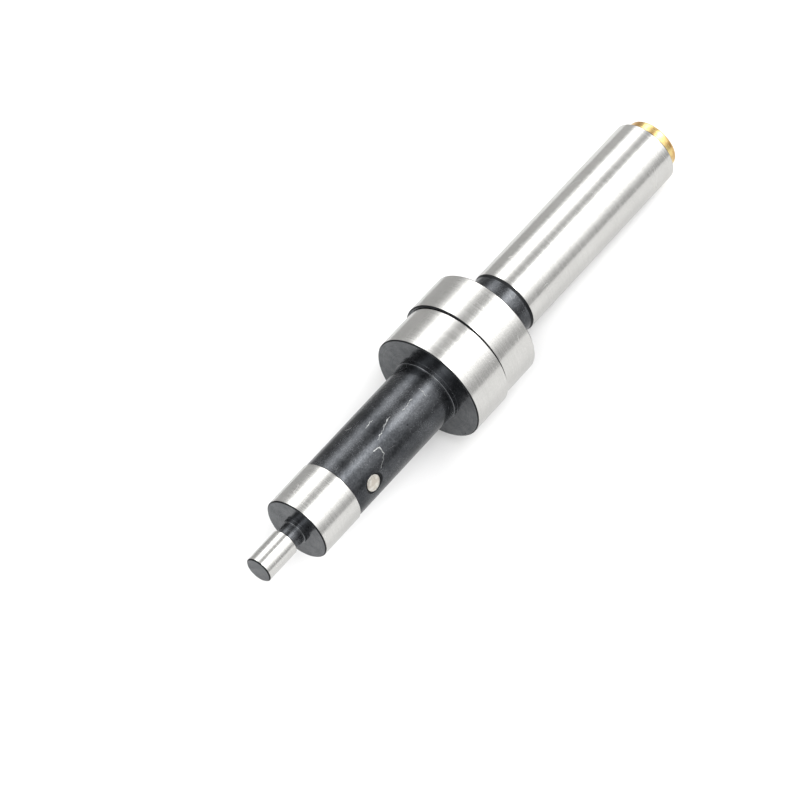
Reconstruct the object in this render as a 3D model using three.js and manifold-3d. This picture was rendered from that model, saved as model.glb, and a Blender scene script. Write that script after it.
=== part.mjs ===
// Mechanical edge finder: a shank for a spindle collet, and a stylus that a long spring pulls
// against it. The two halves meet on flat lapped faces between two equal discs, so the stylus
// can be pushed off the shank's axis, and it stays where friction holds it.
//
// Millimetres, +Z up. The tool lies along X. The origin is on the shank's axis, in the plane of
// the stylus tip's end face, and +X points from the tip to the end of the shank.

import * as THREE from 'three';
import { mergeVertices } from 'three/addons/utils/BufferGeometryUtils.js';
import Module from 'manifold-3d';

const wasm = await Module();
wasm.setup();

// Stylus, from the tip's end face to its lapped face.
const tipDiameter = 4;
const tipLength = 5.77;
const tipNeckDiameter = 3.46;
const tipNeckLength = 1.68;
const tipCollarDiameter = 3.92;
const tipCollarLength = 0.6;
const headDiameter = 10;
const headLength = 7.59;
const bodyDiameter = 9.72;
const bodyLength = 20.21;
const rootCollarDiameter = 10.2;
const rootCollarLength = 0.68;
const discDiameter = 17.2;
const stylusDiscLength = 6.74;

// Shank, from its lapped face to the end that the button turns on.
const shankDiscLength = 6.61;
const shankNeckDiameter = 9.7;
const shankNeckLength = 3.92;
const shankLeadLength = 0.42;
const shankDiameter = 10;
const shankLength = 32.68;

// Edges that are left black where the diameters beside them are ground bright.
const edgeChamfer = 0.2;
const boreChamfer = 0.3;

// One bore through the shank and on into the stylus holds the spring.
const boreDiameter = 6;
const boreBeyondHook = 0.62;
const drillPointAngle = THREE.MathUtils.degToRad(118);

// Pin across the stylus, which the spring's front hook pulls on.
const pinDiameter = 2.4;
const pinSeatWidth = 0.26;
const pinSeatDepth = 0.24;
const pinFromHead = 3.56;
const pinTurn = THREE.MathUtils.degToRad(62.2);
const pinRecess = 0.06;
const pinCrown = 0.12;
const pinCrownEdge = 0.3;

// Turned plug at the shank's end: a button outside, and a stem that ends in a tongue with an eye.
const buttonDiameter = 8;
const buttonLength = 1.86;
const buttonRound = 0.35;
const stemLength = 2.2;
const tongueThickness = 1.6;
const tongueWidth = 3.4;
const tongueBeyondEye = 0.8;
const eyeFromStem = 1.5;

// Tension spring with a hook at each end.
const wireDiameter = 0.7;
const springTurns = 48;
const hookSweep = THREE.MathUtils.degToRad(225);
const hookNeck = 2.5;
const wireSides = 6;
const stepsPerTurn = 10;

// Clearances.
const lapGap = 0.03;
const buttonGap = 0.03;
const stemClearance = 0.05;
const pinClearance = 0.02;
const hookClearance = 0.08;
const hookSlack = 0.35;
const eyeClearance = 0.2;
const springClearance = 0.7;

// How far the stylus lies off the shank's axis.
const stylusOffset = 0.43;

const turnSegments = 48;
const pinSegments = 24;
const roundSteps = 4;

// Places along X.
const tipNeckX = tipLength;
const tipCollarX = tipNeckX + tipNeckLength;
const headX = tipCollarX + tipCollarLength;
const bodyX = headX + headLength;
const rootCollarX = bodyX + bodyLength;
const stylusDiscX = rootCollarX + rootCollarLength;
const stylusLapX = stylusDiscX + stylusDiscLength;
const shankLapX = stylusLapX + lapGap;
const shankNeckX = shankLapX + shankDiscLength;
const shankLeadX = shankNeckX + shankNeckLength;
const shankX = shankLeadX + shankLeadLength;
const shankEndX = shankX + shankLength;
const buttonX = shankEndX + buttonGap;
const buttonEndX = buttonX + buttonLength;
const pinX = bodyX + pinFromHead;
const stemEndX = shankEndX - stemLength;
const eyeX = stemEndX - eyeFromStem;

// Directions across the tool: along the cross pin, and square to it.
const pinDirection = new THREE.Vector3(0, -Math.sin(pinTurn), Math.cos(pinTurn));

const wireRadius = wireDiameter / 2;
const coilRadius = boreDiameter / 2 - springClearance - wireRadius;
const hookRadius = pinDiameter / 2 + hookSlack + wireRadius;
const eyeRadius = wireRadius + eyeClearance;
const hookInnerRadius = hookRadius - wireRadius;

// Where the inside of each hook pulls: round the cross pin, and in the eye, where the hook's
// curve brings it nearest the wall at the tongue's two faces.
const hookRise = hookInnerRadius - Math.sqrt(hookInnerRadius ** 2 - (tongueThickness / 2) ** 2);
const hookFrontX = pinX - pinDiameter / 2 - hookClearance;
const hookBackX = eyeX - eyeRadius + hookClearance + hookRise;

// A solid turned about X from points [radius, x]. The outside runs towards +X, a bore runs back.
function turned(points, segments) {
  const profile = points.map(([radius, x]) => new THREE.Vector2(radius, x));
  return new THREE.LatheGeometry(profile, segments).rotateZ(-Math.PI / 2);
}

// Points [radius, x] along the quarter circle that rounds an outer edge facing +X.
function roundedEdge(edgeRadius, edgeX, round) {
  return Array.from({ length: roundSteps + 1 }, (unused, i) => {
    const angle = (Math.PI / 2) * (i / roundSteps);
    return [edgeRadius - round * (1 - Math.cos(angle)), edgeX - round * (1 - Math.sin(angle))];
  });
}

function toManifold(geometry) {
  const bare = geometry.clone();
  bare.deleteAttribute('normal');
  bare.deleteAttribute('uv');
  const merged = mergeVertices(bare, 1e-5);
  const index = merged.index.array;
  const triangles = [];
  for (let i = 0; i < index.length; i += 3) {
    const [a, b, c] = [index[i], index[i + 1], index[i + 2]];
    if (a !== b && b !== c && c !== a) triangles.push(a, b, c);
  }
  return new wasm.Manifold(new wasm.Mesh({
    numProp: 3,
    vertProperties: new Float32Array(merged.attributes.position.array),
    triVerts: new Uint32Array(triangles),
  }));
}

function fromManifold(solid) {
  const mesh = solid.getMesh();
  const geometry = new THREE.BufferGeometry();
  geometry.setAttribute('position', new THREE.BufferAttribute(mesh.vertProperties, 3));
  geometry.setIndex(new THREE.BufferAttribute(mesh.triVerts, 1));
  geometry.computeVertexNormals();
  return geometry;
}

function cut(geometry, tools) {
  const solid = tools.reduce((rest, tool) => rest.subtract(toManifold(tool)), toManifold(geometry));
  return fromManifold(solid);
}

function join(geometries) {
  const [first, ...others] = geometries.map(toManifold);
  return fromManifold(others.reduce((whole, next) => whole.add(next), first));
}

// A turned piece laid along the cross pin, through the point where the pin crosses the axis.
function alongPin(geometry) {
  const along = new THREE.Quaternion();
  along.setFromUnitVectors(new THREE.Vector3(1, 0, 0), pinDirection);
  return geometry.applyQuaternion(along).translate(pinX, 0, 0);
}

function stylusGeometry() {
  const boreRadius = boreDiameter / 2;
  const boreEndX = hookFrontX - wireDiameter - boreBeyondHook;
  const drillPointLength = boreRadius / Math.tan(drillPointAngle / 2);
  const blank = turned([
    [0, 0],
    [tipDiameter / 2 - edgeChamfer, 0],
    [tipDiameter / 2, edgeChamfer],
    [tipDiameter / 2, tipNeckX - edgeChamfer],
    [tipDiameter / 2 - edgeChamfer, tipNeckX],
    [tipNeckDiameter / 2, tipNeckX],
    [tipNeckDiameter / 2, tipCollarX],
    [tipCollarDiameter / 2, tipCollarX],
    [tipCollarDiameter / 2, headX],
    [headDiameter / 2 - edgeChamfer, headX],
    [headDiameter / 2, headX + edgeChamfer],
    [headDiameter / 2, bodyX - edgeChamfer],
    [bodyDiameter / 2, bodyX],
    [bodyDiameter / 2, rootCollarX],
    [rootCollarDiameter / 2, rootCollarX],
    [rootCollarDiameter / 2, stylusDiscX],
    [discDiameter / 2 - edgeChamfer, stylusDiscX],
    [discDiameter / 2, stylusDiscX + edgeChamfer],
    [discDiameter / 2, stylusLapX - edgeChamfer],
    [discDiameter / 2 - edgeChamfer, stylusLapX],
    [boreRadius + boreChamfer, stylusLapX],
    [boreRadius, stylusLapX - boreChamfer],
    [boreRadius, boreEndX],
    [0, boreEndX - drillPointLength],
  ], turnSegments);

  const holeRadius = pinDiameter / 2 + pinClearance;
  const seatX = bodyDiameter / 2 - pinSeatDepth;
  const farX = bodyDiameter / 2 + 1;
  const farRadius = holeRadius + (pinSeatWidth * (farX - seatX)) / pinSeatDepth;
  const pinHole = turned([
    [0, -farX],
    [farRadius, -farX],
    [holeRadius, -seatX],
    [holeRadius, seatX],
    [farRadius, farX],
    [0, farX],
  ], pinSegments);
  return cut(blank, [alongPin(pinHole)]);
}

function crossPinGeometry() {
  const pinRadius = pinDiameter / 2;
  const pinEndX = bodyDiameter / 2 - pinRecess;
  return alongPin(turned([
    [0, -pinEndX],
    [pinRadius - pinCrownEdge, -pinEndX],
    [pinRadius, -pinEndX + pinCrown],
    [pinRadius, pinEndX - pinCrown],
    [pinRadius - pinCrownEdge, pinEndX],
    [0, pinEndX],
  ], pinSegments));
}

function shankGeometry() {
  const boreRadius = boreDiameter / 2;
  const discRadius = discDiameter / 2;
  const outside = [
    [boreRadius + boreChamfer, shankLapX],
    [discRadius - edgeChamfer, shankLapX],
    [discRadius, shankLapX + edgeChamfer],
    [discRadius, shankNeckX - edgeChamfer],
    [discRadius - edgeChamfer, shankNeckX],
    [shankNeckDiameter / 2, shankNeckX],
    [shankNeckDiameter / 2, shankLeadX],
    [shankDiameter / 2, shankX],
    [shankDiameter / 2, shankEndX - edgeChamfer],
    [shankDiameter / 2 - edgeChamfer, shankEndX],
    [boreRadius + boreChamfer, shankEndX],
    [boreRadius, shankEndX - boreChamfer],
    [boreRadius, shankLapX + boreChamfer],
  ];
  return turned([...outside, outside[0]], turnSegments);
}

function endPlugGeometry() {
  const stemRadius = boreDiameter / 2 - stemClearance;
  const button = turned([
    [0, stemEndX],
    [stemRadius - boreChamfer, stemEndX],
    [stemRadius, stemEndX + boreChamfer],
    [stemRadius, buttonX],
    [buttonDiameter / 2, buttonX],
    ...roundedEdge(buttonDiameter / 2, buttonEndX, buttonRound),
    [0, buttonEndX],
  ], turnSegments);

  // The tongue stands in the plane of the cross pin, so both hooks lie in one plane.
  const rootX = stemEndX + stemLength / 2;
  const noseRound = tongueWidth / 2;
  const noseX = eyeX - eyeRadius - tongueBeyondEye + noseRound;
  const outline = new THREE.Shape();
  outline.moveTo(rootX, -noseRound);
  outline.lineTo(rootX, noseRound);
  outline.lineTo(noseX, noseRound);
  outline.absarc(noseX, 0, noseRound, Math.PI / 2, 1.5 * Math.PI);
  outline.closePath();
  const tongue = new THREE.ExtrudeGeometry(outline, {
    depth: tongueThickness,
    bevelEnabled: false,
    curveSegments: 12,
  }).translate(0, 0, -tongueThickness / 2);
  const eye = new THREE.CylinderGeometry(eyeRadius, eyeRadius, tongueThickness + 1, pinSegments)
    .rotateX(Math.PI / 2).translate(eyeX, 0, 0);
  const turn = new THREE.Quaternion();
  turn.setFromUnitVectors(new THREE.Vector3(0, 1, 0), pinDirection);
  [tongue, eye].forEach((geometry) => geometry.applyQuaternion(turn));
  return cut(join([button, tongue]), [eye]);
}

// The spring's wire, along X about its middle. One half is drawn, and the other is that half
// turned through 180 degrees about Y: a coil, a bend to the middle plane, and a hook.
class SpringWire extends THREE.Curve {
  constructor(hookCentre) {
    super();
    this.hookCentre = hookCentre;
    this.coilEnd = hookCentre - hookNeck;
    this.coilLength = Math.PI * springTurns * coilRadius;
    this.bendLength = 1.3 * Math.hypot(hookNeck, coilRadius, hookRadius);
    this.hookLength = hookSweep * hookRadius;
  }

  getPoint(t, target = new THREE.Vector3()) {
    const side = t < 0.5 ? -1 : 1;
    const halfLength = this.coilLength + this.bendLength + this.hookLength;
    const along = Math.abs(2 * t - 1) * halfLength;
    if (along < this.coilLength) {
      const share = along / this.coilLength;
      const angle = share * Math.PI * springTurns;
      target.set(share * this.coilEnd, coilRadius * Math.cos(angle), coilRadius * Math.sin(angle));
    } else if (along < this.coilLength + this.bendLength) {
      this.bend((along - this.coilLength) / this.bendLength, target);
    } else {
      const angle = (along - this.coilLength - this.bendLength) / hookRadius;
      target.set(this.hookCentre + hookRadius * Math.sin(angle), 0, hookRadius * Math.cos(angle));
    }
    return target.set(side * target.x, target.y, side * target.z);
  }

  bend(share, target) {
    const start = new THREE.Vector3(this.coilEnd, coilRadius, 0);
    const end = new THREE.Vector3(this.hookCentre, 0, hookRadius);
    const out = new THREE.Vector3(this.coilEnd, coilRadius, hookRadius);
    const into = new THREE.Vector3(this.hookCentre - hookNeck / 2, 0, hookRadius);
    const curve = new THREE.CubicBezierCurve3(start, out, into, end);
    return curve.getPoint(share, target);
  }
}

// The spring stretched between its two hooks, along the line from the cross pin to the eye.
function springMesh(material) {
  const front = new THREE.Vector3(hookFrontX, -stylusOffset, 0);
  const back = new THREE.Vector3(hookBackX, 0, 0);
  const hookCentre = front.distanceTo(back) / 2 - hookInnerRadius;
  const wire = new SpringWire(hookCentre);
  const hookTurns = (hookSweep + Math.PI) / Math.PI;
  const steps = Math.round((springTurns + hookTurns) * stepsPerTurn);
  wire.arcLengthDivisions = steps * 4;

  const section = new THREE.Shape();
  for (let i = 0; i < wireSides; i += 1) {
    const angle = (2 * Math.PI * i) / wireSides;
    const corner = [wireRadius * Math.cos(angle), wireRadius * Math.sin(angle)];
    if (i === 0) section.moveTo(...corner);
    else section.lineTo(...corner);
  }
  section.closePath();
  const geometry = new THREE.ExtrudeGeometry(section, { steps, extrudePath: wire });

  const mesh = new THREE.Mesh(geometry, material);
  mesh.name = 'tension_spring';
  const along = back.clone().sub(front).normalize();
  const across = new THREE.Vector3().crossVectors(along, pinDirection).normalize();
  const upright = new THREE.Vector3().crossVectors(across, along);
  mesh.quaternion.setFromRotationMatrix(new THREE.Matrix4().makeBasis(along, upright, across));
  mesh.position.copy(front).add(back).multiplyScalar(0.5);
  return mesh;
}

function named(name, geometry, material) {
  const mesh = new THREE.Mesh(geometry, material);
  mesh.name = name;
  return mesh;
}

const blackenedSteel = new THREE.MeshStandardMaterial({
  color: 0x33363b, roughness: 0.42, metalness: 0.85,
});
const groundSteel = new THREE.MeshStandardMaterial({
  color: 0xc9cbcd, roughness: 0.24, metalness: 1,
});
const pinSteel = new THREE.MeshStandardMaterial({
  color: 0xd8d2c6, roughness: 0.3, metalness: 1,
});
const springSteel = new THREE.MeshStandardMaterial({
  color: 0x8e9094, roughness: 0.35, metalness: 1,
});
const turnedBrass = new THREE.MeshStandardMaterial({
  color: 0xd9ab4f, roughness: 0.28, metalness: 1,
});

const stylusGroup = new THREE.Group();
stylusGroup.position.y = -stylusOffset;
stylusGroup.add(named('stylus', stylusGeometry(), blackenedSteel));
stylusGroup.add(named('cross_pin', crossPinGeometry(), pinSteel));

const edgeFinder = new THREE.Group();
edgeFinder.add(named('shank', shankGeometry(), groundSteel));
edgeFinder.add(stylusGroup);
edgeFinder.add(named('end_plug', endPlugGeometry(), turnedBrass));
edgeFinder.add(springMesh(springSteel));

export default edgeFinder;
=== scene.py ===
import math

import bmesh
import bpy
from mathutils import Matrix, Vector


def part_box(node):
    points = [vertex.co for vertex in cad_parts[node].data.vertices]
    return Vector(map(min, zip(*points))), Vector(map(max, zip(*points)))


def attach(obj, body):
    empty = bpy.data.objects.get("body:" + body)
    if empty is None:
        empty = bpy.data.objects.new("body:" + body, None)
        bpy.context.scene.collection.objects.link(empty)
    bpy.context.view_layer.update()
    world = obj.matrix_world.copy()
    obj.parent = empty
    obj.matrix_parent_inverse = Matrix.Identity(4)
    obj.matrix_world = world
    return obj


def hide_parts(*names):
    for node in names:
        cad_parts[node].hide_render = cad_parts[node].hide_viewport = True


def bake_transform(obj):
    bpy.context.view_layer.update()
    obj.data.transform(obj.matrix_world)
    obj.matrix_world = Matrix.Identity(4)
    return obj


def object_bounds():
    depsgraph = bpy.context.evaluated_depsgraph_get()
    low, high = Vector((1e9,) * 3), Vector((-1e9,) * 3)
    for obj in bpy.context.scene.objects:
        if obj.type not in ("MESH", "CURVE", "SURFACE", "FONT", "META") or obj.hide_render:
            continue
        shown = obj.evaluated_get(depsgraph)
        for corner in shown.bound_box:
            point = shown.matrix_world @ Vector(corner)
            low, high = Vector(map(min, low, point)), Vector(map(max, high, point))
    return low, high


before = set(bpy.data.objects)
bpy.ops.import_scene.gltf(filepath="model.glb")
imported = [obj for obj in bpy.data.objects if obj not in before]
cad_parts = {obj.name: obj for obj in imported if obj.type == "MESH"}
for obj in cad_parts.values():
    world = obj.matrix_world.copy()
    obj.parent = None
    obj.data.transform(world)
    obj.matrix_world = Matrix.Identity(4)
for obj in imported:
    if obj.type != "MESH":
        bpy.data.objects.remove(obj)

mm = 0.001
cadLow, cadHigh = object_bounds()


def colourOf(hexText):  # sRGB hex to the linear colour that the shaders take
    shares = [int(hexText[i:i + 2], 16) / 255 for i in (0, 2, 4)]
    linear = [c / 12.92 if c <= 0.04045 else ((c + 0.055) / 1.055) ** 2.4 for c in shares]
    return (*linear, 1.0)


def addNode(tree, kind, inputs=None, **settings):  # inputs are values, or sockets to link
    node = tree.nodes.new(kind)
    for key, value in settings.items():
        setattr(node, key, value)
    for key, value in (inputs or {}).items():
        if isinstance(value, bpy.types.NodeSocket):
            tree.links.new(value, node.inputs[key])
        else:
            node.inputs[key].default_value = value
    return node


def newMaterial(name):  # returns the material, its tree, its shader and its Object coordinates
    material = bpy.data.materials.new(name)
    material.use_nodes = True
    tree = material.node_tree
    tree.nodes.clear()
    shader = addNode(tree, "ShaderNodeBsdfPrincipled")
    addNode(tree, "ShaderNodeOutputMaterial", {"Surface": shader.outputs[0]})
    place = addNode(tree, "ShaderNodeTexCoord").outputs["Object"]
    return material, tree, shader, place


def setRamp(ramp, stops):  # stops are (place, hex colour), for the ramp's two ends
    for element, (place, shade) in zip(ramp.color_ramp.elements, stops):
        element.position = place
        element.color = colourOf(shade)


# Tool steel that was hardened and ground between centres. The wheel leaves fine rings round the
# piece, so the surface is a soft mirror along its length, with a few hairline handling marks.
groundFinish = {
    "bright": "e6e5e2",
    "dull": "d8d7d4",
    "roughness": (0.13, 0.25),
    "ring": 0.16,         # mm between rings; real ones are some 0.01, drawn coarser so that they show
    "ringLength": 7.0,    # mm that one ring runs before it fades
    "ringDepth": 0.0011,  # mm
    "grain": 0.3,         # mm across the frosting that handling leaves; really a tenth of that
    "grainDepth": 4.5,    # times a ring's
    "cloud": 8.0,         # mm across the slight changes of brightness
    "markDepth": 1.6,     # times a ring's
    "markRoughness": 0.16,
    "hairlines": {"spacing": 9.0, "bend": 1.2, "width": (0.0, 0.004), "level": 1.0,
                  "patch": 3.1, "patchDetail": 1.0, "patchFrom": 0.56},    # spacing and patch in mm
}


# A hairline mark follows the level line of a smooth noise, and a second noise breaks it off.
def hairlineMask(tree, place, s):
    wander = addNode(tree, "ShaderNodeTexNoise",
                     {"Vector": place, "Scale": 1 / (s["spacing"] * mm), "Detail": 2.0,
                      "Distortion": s["bend"]})
    offLine = addNode(tree, "ShaderNodeMath", {0: wander.outputs["Fac"], 1: 0.5}, operation="SUBTRACT")
    distance = addNode(tree, "ShaderNodeMath", {0: offLine.outputs[0]}, operation="ABSOLUTE")
    line = addNode(tree, "ShaderNodeMapRange",
                   {"Value": distance.outputs[0], "From Min": s["width"][0], "From Max": s["width"][1],
                    "To Min": s["level"], "To Max": 0.0})
    patch = addNode(tree, "ShaderNodeTexNoise",
                    {"Vector": place, "Scale": 1 / (s["patch"] * mm), "Detail": s["patchDetail"]})
    gate = addNode(tree, "ShaderNodeMapRange",
                   {"Value": patch.outputs["Fac"], "From Min": s["patchFrom"], "From Max": 0.62})
    return addNode(tree, "ShaderNodeMath", {0: line.outputs[0], 1: gate.outputs[0]}, operation="MULTIPLY")


def groundSteel():
    s = groundFinish
    material, tree, shader, place = newMaterial("groundToolSteel")
    across, along = 1 / (s["ringLength"] * mm), 1 / (s["ring"] * mm)
    ringPlace = addNode(tree, "ShaderNodeMapping", {"Vector": place, "Scale": (along, across, across)})
    rings = addNode(tree, "ShaderNodeTexNoise",
                    {"Vector": ringPlace.outputs[0], "Scale": 1.0, "Detail": 3.0, "Roughness": 0.6})
    cloud = addNode(tree, "ShaderNodeTexNoise",
                    {"Vector": place, "Scale": 1 / (s["cloud"] * mm), "Detail": 4.0, "Roughness": 0.6})
    frosting = addNode(tree, "ShaderNodeTexNoise",
                       {"Vector": place, "Scale": 1 / (s["grain"] * mm), "Detail": 3.0, "Roughness": 0.7})
    mottle = addNode(tree, "ShaderNodeMix", {0: 0.6, 2: cloud.outputs["Fac"], 3: frosting.outputs["Fac"]})
    streak = addNode(tree, "ShaderNodeMath",
                     {0: rings.outputs["Fac"], 1: 0.6, 2: mottle.outputs[0]}, operation="MULTIPLY_ADD")
    tone = addNode(tree, "ShaderNodeValToRGB", {"Fac": streak.outputs[0]})
    setRamp(tone, [(0.65, s["dull"]), (0.95, s["bright"])])
    tree.links.new(tone.outputs["Color"], shader.inputs["Base Color"])
    gloss = addNode(tree, "ShaderNodeMapRange",
                    {"Value": rings.outputs["Fac"], "From Min": 0.3, "From Max": 0.7,
                     "To Min": s["roughness"][0], "To Max": s["roughness"][1]})
    marks = hairlineMask(tree, place, s["hairlines"])
    rough = addNode(tree, "ShaderNodeMath",
                    {0: marks.outputs[0], 1: s["markRoughness"], 2: gloss.outputs[0]},
                    operation="MULTIPLY_ADD")
    tree.links.new(rough.outputs[0], shader.inputs["Roughness"])

    marked = addNode(tree, "ShaderNodeMath",
                     {0: marks.outputs[0], 1: -s["markDepth"], 2: rings.outputs["Fac"]},
                     operation="MULTIPLY_ADD")
    height = addNode(tree, "ShaderNodeMath",
                     {0: frosting.outputs["Fac"], 1: s["grainDepth"], 2: marked.outputs[0]},
                     operation="MULTIPLY_ADD")
    bump = addNode(tree, "ShaderNodeBump",
                   {"Height": height.outputs[0], "Strength": 1.0, "Distance": s["ringDepth"] * mm})
    tree.links.new(bump.outputs[0], shader.inputs["Normal"])
    shader.inputs["Metallic"].default_value = 1.0
    return material


# Hot black oxide over turned and polished steel. It is a thin crystal skin that keeps the steel's
# sheen, so it shows as a dark grey half mirror, with rubbed places, pits and scratches.
oxideFinish = {
    "deep": "3c3e41",
    "rubbed": "626467",
    "scratch": "a4a5a4",
    "pit": "17181a",
    "roughness": (0.17, 0.3),
    "ring": 0.14,         # mm between turning rings
    "ringLength": 5.0,    # mm that one ring runs before it fades
    "ringDepth": 0.0016,  # mm
    "grain": 0.24,        # mm across the speckle; real crystals are a hundredth of that
    "grainDepth": 3.0,    # times a ring's, as the two below
    "markDepth": 3.0,
    "pitDepth": 6.0,
    "markRoughness": 0.25,
    "cloud": 4.5,         # mm across the lighter and darker places
    "pitSpacing": 1.9,    # mm
    "pitShare": 0.28,     # of the places where a pit could be
    "hairlines": {"spacing": 5.0, "bend": 0.4, "width": (0.001, 0.006), "level": 0.3,
                  "patch": 2.3, "patchDetail": 2.0, "patchFrom": 0.55},    # spacing and patch in mm
}
bodyScratches = [  # x in mm and degrees from the top towards -Y, at both ends, then the width in mm
    (22.96, 25.7, 21.85, 21.5, 0.12), (22.96, 25.7, 22.86, 36.6, 0.11), (22.86, 36.6, 21.19, 50.6, 0.06),
    (27.41, 3.4, 25.48, 7.2, 0.05), (26.1, 7.5, 23.53, 15.5, 0.045), (33.45, 7.9, 33.17, 23.5, 0.04),
    (22.35, -42.7, 23.05, -35.9, 0.08), (23.94, -12.5, 25.44, -14.5, 0.06), (31.5, 10.0, 29.2, 13.0, 0.035),
]


def scratchMask(tree, place, axisY, radius, scratches):  # radius in mm; 1 on a scratch, 0 beside it
    split = addNode(tree, "ShaderNodeSeparateXYZ", {0: place})
    aside = addNode(tree, "ShaderNodeMath", {0: axisY, 1: split.outputs["Y"]}, operation="SUBTRACT")
    angle = addNode(tree, "ShaderNodeMath", {0: aside.outputs[0], 1: split.outputs["Z"]},
                    operation="ARCTAN2")
    around = addNode(tree, "ShaderNodeMath", {0: angle.outputs[0], 1: radius * mm}, operation="MULTIPLY")
    flat = addNode(tree, "ShaderNodeCombineXYZ", {"X": split.outputs["X"], "Y": around.outputs[0]})
    kink, reach = 0.55 * mm, 0.7 * mm     # the length of a scratch's kinks, and how far they go
    wander = addNode(tree, "ShaderNodeTexNoise", {"Vector": place, "Scale": 1 / kink, "Detail": 4.0})
    shift = addNode(tree, "ShaderNodeVectorMath",
                    {0: wander.outputs["Color"], 1: (0.5, 0.5, 0.5)}, operation="SUBTRACT")
    uneven = addNode(tree, "ShaderNodeVectorMath",
                     {0: shift.outputs[0], 1: (reach, reach, 0), 2: flat.outputs[0]},
                     operation="MULTIPLY_ADD")
    total = 0.0
    for x0, angle0, x1, angle1, width in scratches:
        start = Vector((x0, math.radians(angle0) * radius, 0)) * mm
        run = Vector((x1, math.radians(angle1) * radius, 0)) * mm - start
        fromStart = addNode(tree, "ShaderNodeVectorMath", {0: uneven.outputs[0], 1: start},
                            operation="SUBTRACT")
        share = addNode(tree, "ShaderNodeVectorMath",
                        {0: fromStart.outputs[0], 1: run / run.length_squared}, operation="DOT_PRODUCT")
        within = addNode(tree, "ShaderNodeClamp", {"Value": share.outputs["Value"]})
        nearest = addNode(tree, "ShaderNodeVectorMath", {0: run, "Scale": within.outputs[0]},
                          operation="SCALE")
        off = addNode(tree, "ShaderNodeVectorMath", {0: fromStart.outputs[0], 1: nearest.outputs[0]},
                      operation="DISTANCE")
        core = addNode(tree, "ShaderNodeMapRange",
                       {"Value": off.outputs["Value"], "From Min": 0.25 * width * mm,
                        "From Max": width * mm, "To Min": 1.0, "To Max": 0.0})
        total = addNode(tree, "ShaderNodeMath", {0: core.outputs[0], 1: total},
                        operation="MAXIMUM").outputs[0]
    return total


def blackOxide():
    s = oxideFinish
    material, tree, shader, place = newMaterial("blackOxideOnTurnedSteel")
    across = 1 / (s["ringLength"] * mm)
    ringMap = addNode(tree, "ShaderNodeMapping",
                      {"Vector": place, "Scale": (1 / (s["ring"] * mm), across, across)})
    rings = addNode(tree, "ShaderNodeTexNoise",
                    {"Vector": ringMap.outputs[0], "Scale": 1.0, "Detail": 3.0, "Roughness": 0.65})
    grain = addNode(tree, "ShaderNodeTexNoise",
                    {"Vector": place, "Scale": 1 / (s["grain"] * mm), "Detail": 4.0, "Roughness": 0.7})
    cloud = addNode(tree, "ShaderNodeTexNoise",
                    {"Vector": place, "Scale": 1 / (s["cloud"] * mm), "Detail": 5.0, "Roughness": 0.62})
    speckle = addNode(tree, "ShaderNodeMath",
                      {0: grain.outputs["Fac"], 1: 0.9, 2: cloud.outputs["Fac"]}, operation="MULTIPLY_ADD")
    worn = addNode(tree, "ShaderNodeMapRange",
                   {"Value": speckle.outputs[0], "From Min": 0.75, "From Max": 1.15})
    tone = addNode(tree, "ShaderNodeValToRGB", {"Fac": worn.outputs[0]})
    setRamp(tone, [(0.0, s["deep"]), (1.0, s["rubbed"])])

    hairlines = hairlineMask(tree, place, s["hairlines"])
    scratches = scratchMask(tree, place, stylusAxisY, bodyRadius, bodyScratches)
    marks = addNode(tree, "ShaderNodeMath", {0: hairlines.outputs[0], 1: scratches}, operation="MAXIMUM")
    scratched = addNode(tree, "ShaderNodeMix",
                        {0: marks.outputs[0], 6: tone.outputs["Color"], 7: colourOf(s["scratch"])},
                        data_type="RGBA")

    cells = addNode(tree, "ShaderNodeTexVoronoi", {"Vector": place, "Scale": 1 / (s["pitSpacing"] * mm)})
    chance = addNode(tree, "ShaderNodeSeparateColor", {"Color": cells.outputs["Color"]})
    some = addNode(tree, "ShaderNodeMath", {0: chance.outputs[0], 1: 1 - s["pitShare"]},
                   operation="GREATER_THAN")
    dot = addNode(tree, "ShaderNodeMapRange",
                  {"Value": cells.outputs["Distance"], "From Min": 0.04, "From Max": 0.09,
                   "To Min": 1.0, "To Max": 0.0})
    pits = addNode(tree, "ShaderNodeMath", {0: dot.outputs[0], 1: some.outputs[0]}, operation="MULTIPLY")
    pitted = addNode(tree, "ShaderNodeMix",
                     {0: pits.outputs[0], 6: scratched.outputs[2], 7: colourOf(s["pit"])}, data_type="RGBA")
    tree.links.new(pitted.outputs[2], shader.inputs["Base Color"])

    gloss = addNode(tree, "ShaderNodeMapRange",
                    {"Value": worn.outputs[0], "To Min": s["roughness"][0], "To Max": s["roughness"][1]})
    rough = addNode(tree, "ShaderNodeMath",
                    {0: marks.outputs[0], 1: s["markRoughness"], 2: gloss.outputs[0]},
                    operation="MULTIPLY_ADD")
    tree.links.new(rough.outputs[0], shader.inputs["Roughness"])
    grained = addNode(tree, "ShaderNodeMath",
                      {0: grain.outputs["Fac"], 1: s["grainDepth"], 2: rings.outputs["Fac"]},
                      operation="MULTIPLY_ADD")
    marked = addNode(tree, "ShaderNodeMath",
                     {0: marks.outputs[0], 1: -s["markDepth"], 2: grained.outputs[0]},
                     operation="MULTIPLY_ADD")
    height = addNode(tree, "ShaderNodeMath",
                     {0: pits.outputs[0], 1: -s["pitDepth"], 2: marked.outputs[0]},
                     operation="MULTIPLY_ADD")
    bump = addNode(tree, "ShaderNodeBump",
                   {"Height": height.outputs[0], "Strength": 1.0, "Distance": s["ringDepth"] * mm})
    tree.links.new(bump.outputs[0], shader.inputs["Normal"])
    shader.inputs["Metallic"].default_value = 1.0
    return material


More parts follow.
